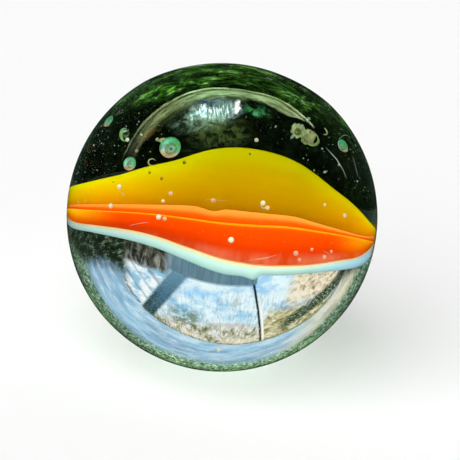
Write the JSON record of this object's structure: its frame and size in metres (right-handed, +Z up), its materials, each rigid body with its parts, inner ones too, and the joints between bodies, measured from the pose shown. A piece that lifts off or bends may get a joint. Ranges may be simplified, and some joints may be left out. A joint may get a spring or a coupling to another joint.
{
  "type": "glass marble",
  "caption": "Clear glass marble with a folded yellow, orange and pale aqua vane sealed inside it among fine air bubbles.",
  "frame": {"origin": "centre of the ball", "axes": "+X along the vane, towards its narrow end; +Z up as the marble lies; the vane's coloured face looks to -Y and leans back"},
  "size_m": [0.016, 0.016, 0.016],
  "materials": {
    "clear_glass": "polished clear glass, faintly bottle-green",
    "yellow_glass": "opaque yellow glass, lemon at its thin edge and ochre at the seam",
    "orange_glass": "opaque orange glass, amber at its ridge and peach on its rolled lip",
    "white_glass": "opaque pale aqua-white glass"
  },
  "bodies": {
    "root": {"glass_ball": "clear_glass", "yellow_vane": "yellow_glass", "orange_vane": "orange_glass", "white_vane": "white_glass"}
  },
  "joints": []
}
